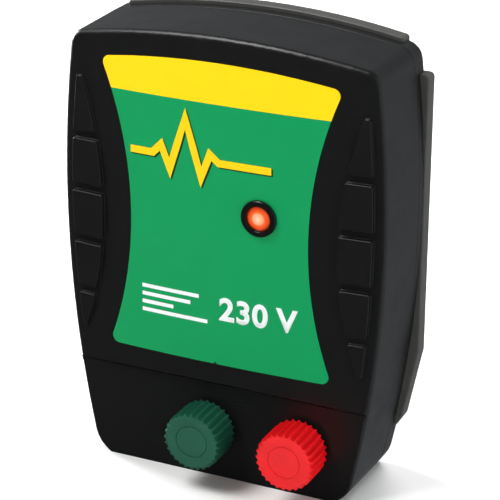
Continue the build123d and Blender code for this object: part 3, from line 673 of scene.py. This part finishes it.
class ENERGIZER_OT_label(bpy.types.Operator):
    """Printed label film: yellow band, green field, pulse trace, text bars and mains rating"""

    bl_idname = "energizer.label"
    bl_label = "Label"

    def execute(self, context):
        sizes = context.scene.energizer_sizes
        self.film(sizes)
        # Pulse trace in millimetres from its base line: a flat line with one sharp pulse, drawn twice
        # for its dark edge
        base = 180.0 * MM
        trace = [(-50, 0), (-37, 0), (-32, 5), (-27, -7), (-18, 21), (-9, -9), (-4, 4), (1, 0), (30, 0)]
        points = [(x * MM, base + z * MM) for x, z in trace]
        shadow = [(x + 0.9 * MM, z - 0.7 * MM) for x, z in points]
        self.ribbon("label_trace_shadow", shadow, sizes.trace_width, sizes.print_lift, materials["ink_dark"])
        self.ribbon("label_trace", points, sizes.trace_width, 2 * sizes.print_lift, materials["ink_yellow"])
        self.text_bars(sizes)
        self.rating(context, sizes)
        return {"FINISHED"}

    def film(self, sizes):
        """Copy of the label's node, split into its yellow band and its green field."""
        mesh = frame["nodes"]["front_label"].data.copy()
        edit = bmesh.new()
        edit.from_mesh(mesh)
        bmesh.ops.remove_doubles(edit, verts=edit.verts, dist=weld)
        bmesh.ops.bisect_plane(
            edit, geom=edit.verts[:] + edit.edges[:] + edit.faces[:], dist=1e-7,
            plane_co=(0, 0, sizes.band_height), plane_no=(0, 0, 1))
        edit.to_mesh(mesh)
        edit.free()
        piece = new_object("label_film", mesh, materials["film_green"], materials["film_yellow"])
        for face in mesh.polygons:
            face.material_index = int(face.center.z > sizes.band_height)
        smooth_by_angle(mesh, crisp_degrees)
        finish_piece(piece, "housing", "front_label")

    def ribbon(self, name, points, width, lift, material):
        """Flat line of even width through the points, bowed like the front."""
        longest_step, sharpest = 4 * MM, 0.35
        edit = bmesh.new()
        vectors = []
        for (x0, z0), (x1, z1) in zip(points, points[1:]):
            steps = max(1, round(abs(x1 - x0) / longest_step))
            for i in range(steps):
                vectors.append(Vector((x0 + (x1 - x0) * i / steps, 0, z0 + (z1 - z0) * i / steps)))
        vectors.append(Vector((points[-1][0], 0, points[-1][1])))
        sides = []
        for i, point in enumerate(vectors):
            before = (point - vectors[i - 1]).normalized() if i else None
            after = (vectors[i + 1] - point).normalized() if i + 1 < len(vectors) else None
            along = ((before or after) + (after or before)).normalized()
            across = Vector((-along.z, 0, along.x))
            leaving = after or before
            reach = width / 2 / max(sharpest, across.dot(Vector((-leaving.z, 0, leaving.x))))
            sides.append((point + across * reach, point - across * reach))
        front, back = [], []
        for pair in sides:
            front.append([edit.verts.new((p.x, label_skin(p.x) - lift, p.z)) for p in pair])
            back.append([edit.verts.new((p.x, label_skin(p.x) + print_root, p.z)) for p in pair])
        for i in range(len(sides) - 1):
            edit.faces.new((front[i][0], front[i][1], front[i + 1][1], front[i + 1][0]))
            edit.faces.new((back[i][0], back[i + 1][0], back[i + 1][1], back[i][1]))
            for k in (0, 1):
                edit.faces.new((front[i][k], front[i + 1][k], back[i + 1][k], back[i][k]))
        for i in (0, len(sides) - 1):
            edit.faces.new((front[i][0], front[i][1], back[i][1], back[i][0]))
        bmesh.ops.recalc_face_normals(edit, faces=edit.faces)
        mesh = bpy.data.meshes.new(name)
        edit.to_mesh(mesh)
        edit.free()
        self.print_on_film(name, mesh, material)

    def text_bars(self, sizes):
        """Four plain white bars in place of small text."""
        # Length of each bar and height of its middle, in millimetres
        bars = [(33.5, 104.9), (28.5, 100.4), (18.5, 95.9), (38.5, 91.4)]
        first_x, half, steps = -44.0, 1.05 * MM, 6
        edit = bmesh.new()
        for length, height in bars:
            left, right = first_x * MM, (first_x + length) * MM
            for step in range(steps):
                x0 = left + (right - left) * step / steps
                x1 = left + (right - left) * (step + 1) / steps
                corners = [(x0, -half), (x1, -half), (x1, half), (x0, half)]
                verts = [edit.verts.new((x, 0, height * MM + z)) for x, z in corners]
                edit.faces.new(verts)
        bmesh.ops.remove_doubles(edit, verts=edit.verts, dist=1e-6)
        mesh = bpy.data.meshes.new("label_text_bars")
        edit.to_mesh(mesh)
        edit.free()
        self.lay_on_film(mesh, sizes.print_lift)
        self.print_on_film("label_text_bars", mesh, materials["ink_white"])

    def rating(self, context, sizes):
        """Mains rating, set to a fixed width beside the bars."""
        left, baseline, width = 1.3 * MM, 93.4 * MM, 44.2 * MM
        figure_share, boldness = 0.72, 0.55 * MM
        curve = bpy.data.curves.new("label_rating", "FONT")
        curve.body = sizes.rating
        curve.size = sizes.rating_height / figure_share
        curve.offset = boldness
        curve.space_character = 1.08
        curve.space_word = 0.8
        holder = bpy.data.objects.new("label_rating", curve)
        context.scene.collection.objects.link(holder)
        graph = context.evaluated_depsgraph_get()
        mesh = bpy.data.meshes.new_from_object(holder.evaluated_get(graph))
        bpy.data.objects.remove(holder)
        xs = [vertex.co.x for vertex in mesh.vertices]
        first = min(xs)
        stretch = width / (max(xs) - first)
        rise = baseline - min(vertex.co.y for vertex in mesh.vertices)
        for vertex in mesh.vertices:
            vertex.co = (left + (vertex.co.x - first) * stretch, 0, vertex.co.y + rise)
        self.lay_on_film(mesh, sizes.print_lift)
        self.print_on_film("label_rating", mesh, materials["ink_white"])

    def print_on_film(self, name, mesh, material):
        """Printed piece that rides on the housing."""
        piece = new_object(name, mesh, material)
        finish_piece(piece, "housing")

    def lay_on_film(self, mesh, lift):
        """Bow a flat figure like the front and give it a thin solid body."""
        edit = bmesh.new()
        edit.from_mesh(mesh)
        bmesh.ops.remove_doubles(edit, verts=edit.verts, dist=1e-6)
        for face in edit.faces:
            face.normal_update()
            if face.normal.y > 0:
                face.normal_flip()
        made = bmesh.ops.extrude_face_region(edit, geom=edit.faces[:])
        fronts = {item for item in made["geom"] if isinstance(item, bmesh.types.BMVert)}
        for vertex in edit.verts:
            proud = lift if vertex in fronts else -print_root
            vertex.co.y = label_skin(vertex.co.x) - proud
        bmesh.ops.recalc_face_normals(edit, faces=edit.faces)
        edit.to_mesh(mesh)
        edit.free()


class ENERGIZER_OT_marks(bpy.types.Operator):
    """Earth sign moulded beside the earth knob, and the nub at the label's lower edge"""

    bl_idname = "energizer.marks"
    bl_label = "Moulded marks"

    def execute(self, context):
        self.earth_sign()
        self.label_nub()
        return {"FINISHED"}

    def earth_sign(self):
        """Stem over three bars that grow shorter downwards, at the upper right of the earth knob."""
        knob = middle("earth_knob")
        panel_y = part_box("earth_collar")[0].y + 3.3 * MM
        x, z = knob.x + 19.3 * MM, knob.z + 15.0 * MM
        stroke, rise, root, stem = 0.55 * MM, 0.25 * MM, 0.3 * MM, 5.0 * MM
        depth = (panel_y - rise, panel_y + root)
        edit = bmesh.new()
        for half, height in ((5.2 * MM, z), (3.5 * MM, z - 2.0 * MM), (1.8 * MM, z - 4.0 * MM)):
            self.bar(edit, (x - half, x + half), depth, (height, height + stroke))
        self.bar(edit, (x - stroke / 2, x + stroke / 2), depth, (z + 0.99 * stroke, z + stem))
        self.place(edit, "earth_sign")

    def label_nub(self):
        """Small three-sided nub across the label's lower edge."""
        edge_z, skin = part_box("front_label")[0].z, skin_y(-1.0 * MM)
        rise, root = 0.35 * MM, 0.3 * MM
        corners = [
            (-2.3 * MM, edge_z - 0.4 * MM), (0.3 * MM, edge_z - 0.4 * MM), (-1.0 * MM, edge_z + 1.2 * MM)]
        edit = bmesh.new()
        front = [edit.verts.new((cx, skin - rise, cz)) for cx, cz in corners]
        back = [edit.verts.new((cx, skin + root, cz)) for cx, cz in corners]
        edit.faces.new(front)
        edit.faces.new(list(reversed(back)))
        for i in range(3):
            edit.faces.new((front[i], back[i], back[i - 2], front[i - 2]))
        self.place(edit, "label_nub")

    def bar(self, edit, x, y, z):
        """Box between the given pairs, with its front edges drawn in a little."""
        taper = 0.1 * MM
        front = [(x[0] + taper, z[0] + taper), (x[1] - taper, z[0] + taper),
                 (x[1] - taper, z[1] - taper), (x[0] + taper, z[1] - taper)]
        back = [(x[0], z[0]), (x[1], z[0]), (x[1], z[1]), (x[0], z[1])]
        near = [edit.verts.new((px, y[0], pz)) for px, pz in front]
        far = [edit.verts.new((px, y[1], pz)) for px, pz in back]
        edit.faces.new(near)
        edit.faces.new(list(reversed(far)))
        for i in range(4):
            edit.faces.new((near[i], far[i], far[i - 3], near[i - 3]))

    def place(self, edit, name):
        """Moulded mark in the case's own plastic."""
        bmesh.ops.recalc_face_normals(edit, faces=edit.faces)
        mesh = bpy.data.meshes.new(name)
        edit.to_mesh(mesh)
        edit.free()
        piece = new_object(name, mesh, materials["abs_shell"])
        finish_piece(piece, "housing")


class ENERGIZER_OT_lamp(bpy.types.Operator):
    """Pulse lamp: bezel, lens, light guide and diode"""

    bl_idname = "energizer.lamp"
    bl_label = "Pulse lamp"

    def execute(self, context):
        refined("lamp_bezel", materials["abs_smooth"], 0.25 * MM)
        low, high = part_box("lamp_lens")
        rim = radius_of("lamp_lens")
        dome, rings, steps = 1.3 * MM, 10, 64
        profile = [(0, low.y)]
        for i in range(1, rings + 1):
            share = i / rings
            profile.append((rim * share, low.y + dome * share ** 2))
        profile += [(rim, high.y), (0, high.y)]
        lens = new_object("lamp_lens_dome", lathe(profile, steps, lamp_centre), lamp_glow())
        smooth_by_angle(lens.data, 40)
        finish_piece(lens, "housing", "lamp_lens")
        refined("light_guide", clear_acrylic(), 0.2 * MM)
        refined("pulse_led", clear_acrylic(), 0.2 * MM)
        return {"FINISHED"}


class ENERGIZER_OT_knobs(bpy.types.Operator):
    """Knurled terminal knobs with their brass inserts and clamp washers"""

    bl_idname = "energizer.knobs"
    bl_label = "Terminal knobs"

    def execute(self, context):
        sizes = context.scene.energizer_sizes
        for name in ("earth", "fence"):
            material = materials["knob_green" if name == "earth" else "knob_red"]
            self.knob(name, sizes, material)
            refined(f"{name}_knob_insert", materials["brass"])
            refined(f"{name}_clamp_washer", materials["zinc"], 0.1 * MM)
        return {"FINISHED"}

    def knob(self, name, sizes, material):
        """Dished face and a scalloped rim that reaches past the back, with a pocket for the insert."""
        low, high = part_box(f"{name}_knob")
        centre = middle(f"{name}_knob")
        face, back = low.y, high.y
        insert_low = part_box(f"{name}_knob_insert")[0]
        seat = radius_of(f"{name}_knob_insert")
        rim = radius_of(f"{name}_knob") + sizes.knob_growth
        skirt = back + 1.4 * MM
        # Radii of the ring groove on the face and of the bore for the stud
        ring, bore = 8.7 * MM, 4.35 * MM
        # Radius and depth of the outline, from the dished face round the rim to the bore
        profile = [
            (0, face + 0.62 * MM), (ring * 0.5, face + 0.6 * MM), (ring - 0.5 * MM, face + 0.55 * MM),
            (ring - 0.15 * MM, face + 0.6 * MM), (ring, face + 0.95 * MM),
            (ring + 0.25 * MM, face + 0.95 * MM), (ring + 0.45 * MM, face + 0.5 * MM),
            (rim * 0.68, face + 0.28 * MM), (rim * 0.78, face + 0.04 * MM), (rim - 2.3 * MM, face),
            (rim - 1.5 * MM, face + 0.05 * MM), (rim - 0.9 * MM, face + 0.2 * MM),
            (rim - 0.45 * MM, face + 0.5 * MM), (rim - 0.12 * MM, face + 1.0 * MM), (rim, face + 1.7 * MM),
            (rim, (face + skirt) / 2), (rim, skirt - 1.0 * MM), (rim - 0.25 * MM, skirt - 0.35 * MM),
            (rim - 0.8 * MM, skirt), (rim - 2.3 * MM, skirt), (13.0 * MM, skirt), (12.8 * MM, back),
            (seat, back), (seat, insert_low.y), (bore, insert_low.y), (bore, insert_low.y - 1.0 * MM),
            (0, insert_low.y - 1.2 * MM),
        ]
        valley_share, steps_per_tooth = 0.92, 16

        def scallop(angle, row):
            """Round valleys between narrow ridges, cut straight along the knob."""
            turn = (angle * sizes.knob_teeth / (2 * pi)) % 1.0
            across = abs(turn - 0.5) * 2
            valley = sqrt(max(0.0, 1 - (across / valley_share) ** 2))
            floor = rim - sizes.knob_valley * valley
            return min(1.0, floor / profile[row][0])

        mesh = lathe(profile, sizes.knob_teeth * steps_per_tooth, centre, scallop)
        piece = new_object(f"{name}_knob_body", mesh, material)
        smooth_by_angle(piece.data, 42)
        finish_piece(piece, f"{name}_knob_body", f"{name}_knob")


class ENERGIZER_OT_terminals(bpy.types.Operator):
    """Collars, studs, nuts, wire tags and leads"""

    bl_idname = "energizer.terminals"
    bl_label = "Terminals"

    def execute(self, context):
        for name in ("earth", "fence"):
            refined(f"{name}_collar", materials["abs_smooth"], 0.2 * MM)
            refined(f"{name}_stud", materials["zinc"])
            refined(f"{name}_lead", materials["knob_green" if name == "earth" else "knob_red"])
        refined("terminal_nuts", materials["zinc"], 0.2 * MM)
        refined("ring_terminals", materials["zinc"], 0.1 * MM)
        return {"FINISHED"}


class ENERGIZER_OT_fasteners(bpy.types.Operator):
    """Screws of the case, bracket, board, clips and cord clamp, with the mains gland"""

    bl_idname = "energizer.fasteners"
    bl_label = "Fasteners"

    def execute(self, context):
        # Radius of each screw's head in millimetres. The board's screws face forwards and the rest back
        heads = {"case_screws": 3.1, "board_screws": 2.8, "clip_screws": 2.9, "clamp_screws": 3.0}
        head_height, shank_radius = 2.0 * MM, 1.3 * MM
        for node, radius in heads.items():
            boxes = islands(node)
            low, high = boxes[0]
            forwards = node == "board_screws"
            seat = low.y + head_height if forwards else high.y - 2.1 * MM
            length = high.y - seat if forwards else seat - low.y
            points = [
                ((first.x + last.x) / 2, seat, (first.z + last.z) / 2) for first, last in boxes]
            mesh = screw_mesh(radius * MM, head_height, shank_radius, length)
            turn = (0, 0, 0) if forwards else (0, 0, pi)
            piece = repeat(f"{node}_finish", points, mesh, turn, materials["zinc"])
            finish_piece(piece, "housing", node)
        self.bracket_screws()
        refined("cable_gland", materials["rubber"], 0.2 * MM)
        refined("cord_clamp", materials["abs_smooth"], 0.3 * MM)
        return {"FINISHED"}

    def bracket_screws(self):
        """Screws that hold the bracket, driven up from below."""
        head_radius, head_height, shank_radius, length = 2.5 * MM, 1.1 * MM, 1.2 * MM, 11.0 * MM
        seat_rise = 1.2 * MM
        boxes = islands("bracket_screws")
        points = [((low.x + high.x) / 2, (low.y + high.y) / 2, low.z + seat_rise) for low, high in boxes]
        mesh = screw_mesh(head_radius, head_height, shank_radius, length)
        piece = repeat("bracket_screws_finish", points, mesh, (pi / 2, 0, 0), materials["zinc"])
        finish_piece(piece, "housing", "bracket_screws")


class ENERGIZER_OT_inside(bpy.types.Operator):
    """Circuit board with its parts, pulse transformer and storage capacitor inside the case"""

    bl_idname = "energizer.inside"
    bl_label = "Inside"

    def execute(self, context):
        finishes = {
            "circuit_board": "board", "heat_sink": "aluminium", "thyristor": "epoxy",
            "smoothing_capacitors": "epoxy", "rectifier_diodes": "epoxy", "charging_resistors": "ceramic",
            "fuse_clips": "zinc", "mains_terminal_block": "epoxy", "transformer_core": "core",
            "transformer_bobbin": "epoxy", "transformer_winding": "tape", "transformer_strap": "zinc",
            "storage_capacitor": "aluminium", "capacitor_clip": "zinc",
        }
        for node, finish in finishes.items():
            refined(node, materials[finish], 0.15 * MM)
        refined("mains_fuse", clear_acrylic(), 0.2 * MM)
        return {"FINISHED"}


class ENERGIZER_PT_panel(bpy.types.Panel):
    """Sidebar panel with the energizer's pieces"""

    bl_idname = "ENERGIZER_PT_panel"
    bl_label = "Fence Energizer"
    bl_space_type = "VIEW_3D"
    bl_region_type = "UI"
    bl_category = "Energizer"

    def draw(self, context):
        for group in (context.scene.energizer_sizes, context.scene.energizer_colours):
            for name in group.__annotations__:
                self.layout.prop(group, name)
        for operator in operators:
            self.layout.operator(operator.bl_idname)


operators = (
    ENERGIZER_OT_stage, ENERGIZER_OT_case, ENERGIZER_OT_label, ENERGIZER_OT_marks, ENERGIZER_OT_lamp,
    ENERGIZER_OT_knobs, ENERGIZER_OT_terminals, ENERGIZER_OT_fasteners, ENERGIZER_OT_inside,
)
classes = (ENERGIZER_PG_sizes, ENERGIZER_PG_colours, *operators, ENERGIZER_PT_panel)


def register():
    for cls in classes:
        bpy.utils.register_class(cls)
    bpy.types.Scene.energizer_sizes = PointerProperty(type=ENERGIZER_PG_sizes)
    bpy.types.Scene.energizer_colours = PointerProperty(type=ENERGIZER_PG_colours)


def unregister():
    del bpy.types.Scene.energizer_colours
    del bpy.types.Scene.energizer_sizes
    for cls in reversed(classes):
        bpy.utils.unregister_class(cls)


def main():
    """Make every piece."""
    register()
    scene = bpy.context.scene
    materials.update(make_materials(scene.energizer_sizes, scene.energizer_colours))
    bpy.ops.energizer.stage()
    bpy.ops.energizer.case()
    bpy.ops.energizer.label()
    bpy.ops.energizer.marks()
    bpy.ops.energizer.lamp()
    bpy.ops.energizer.knobs()
    bpy.ops.energizer.terminals()
    bpy.ops.energizer.fasteners()
    bpy.ops.energizer.inside()


if __name__ == "__main__":
    main()
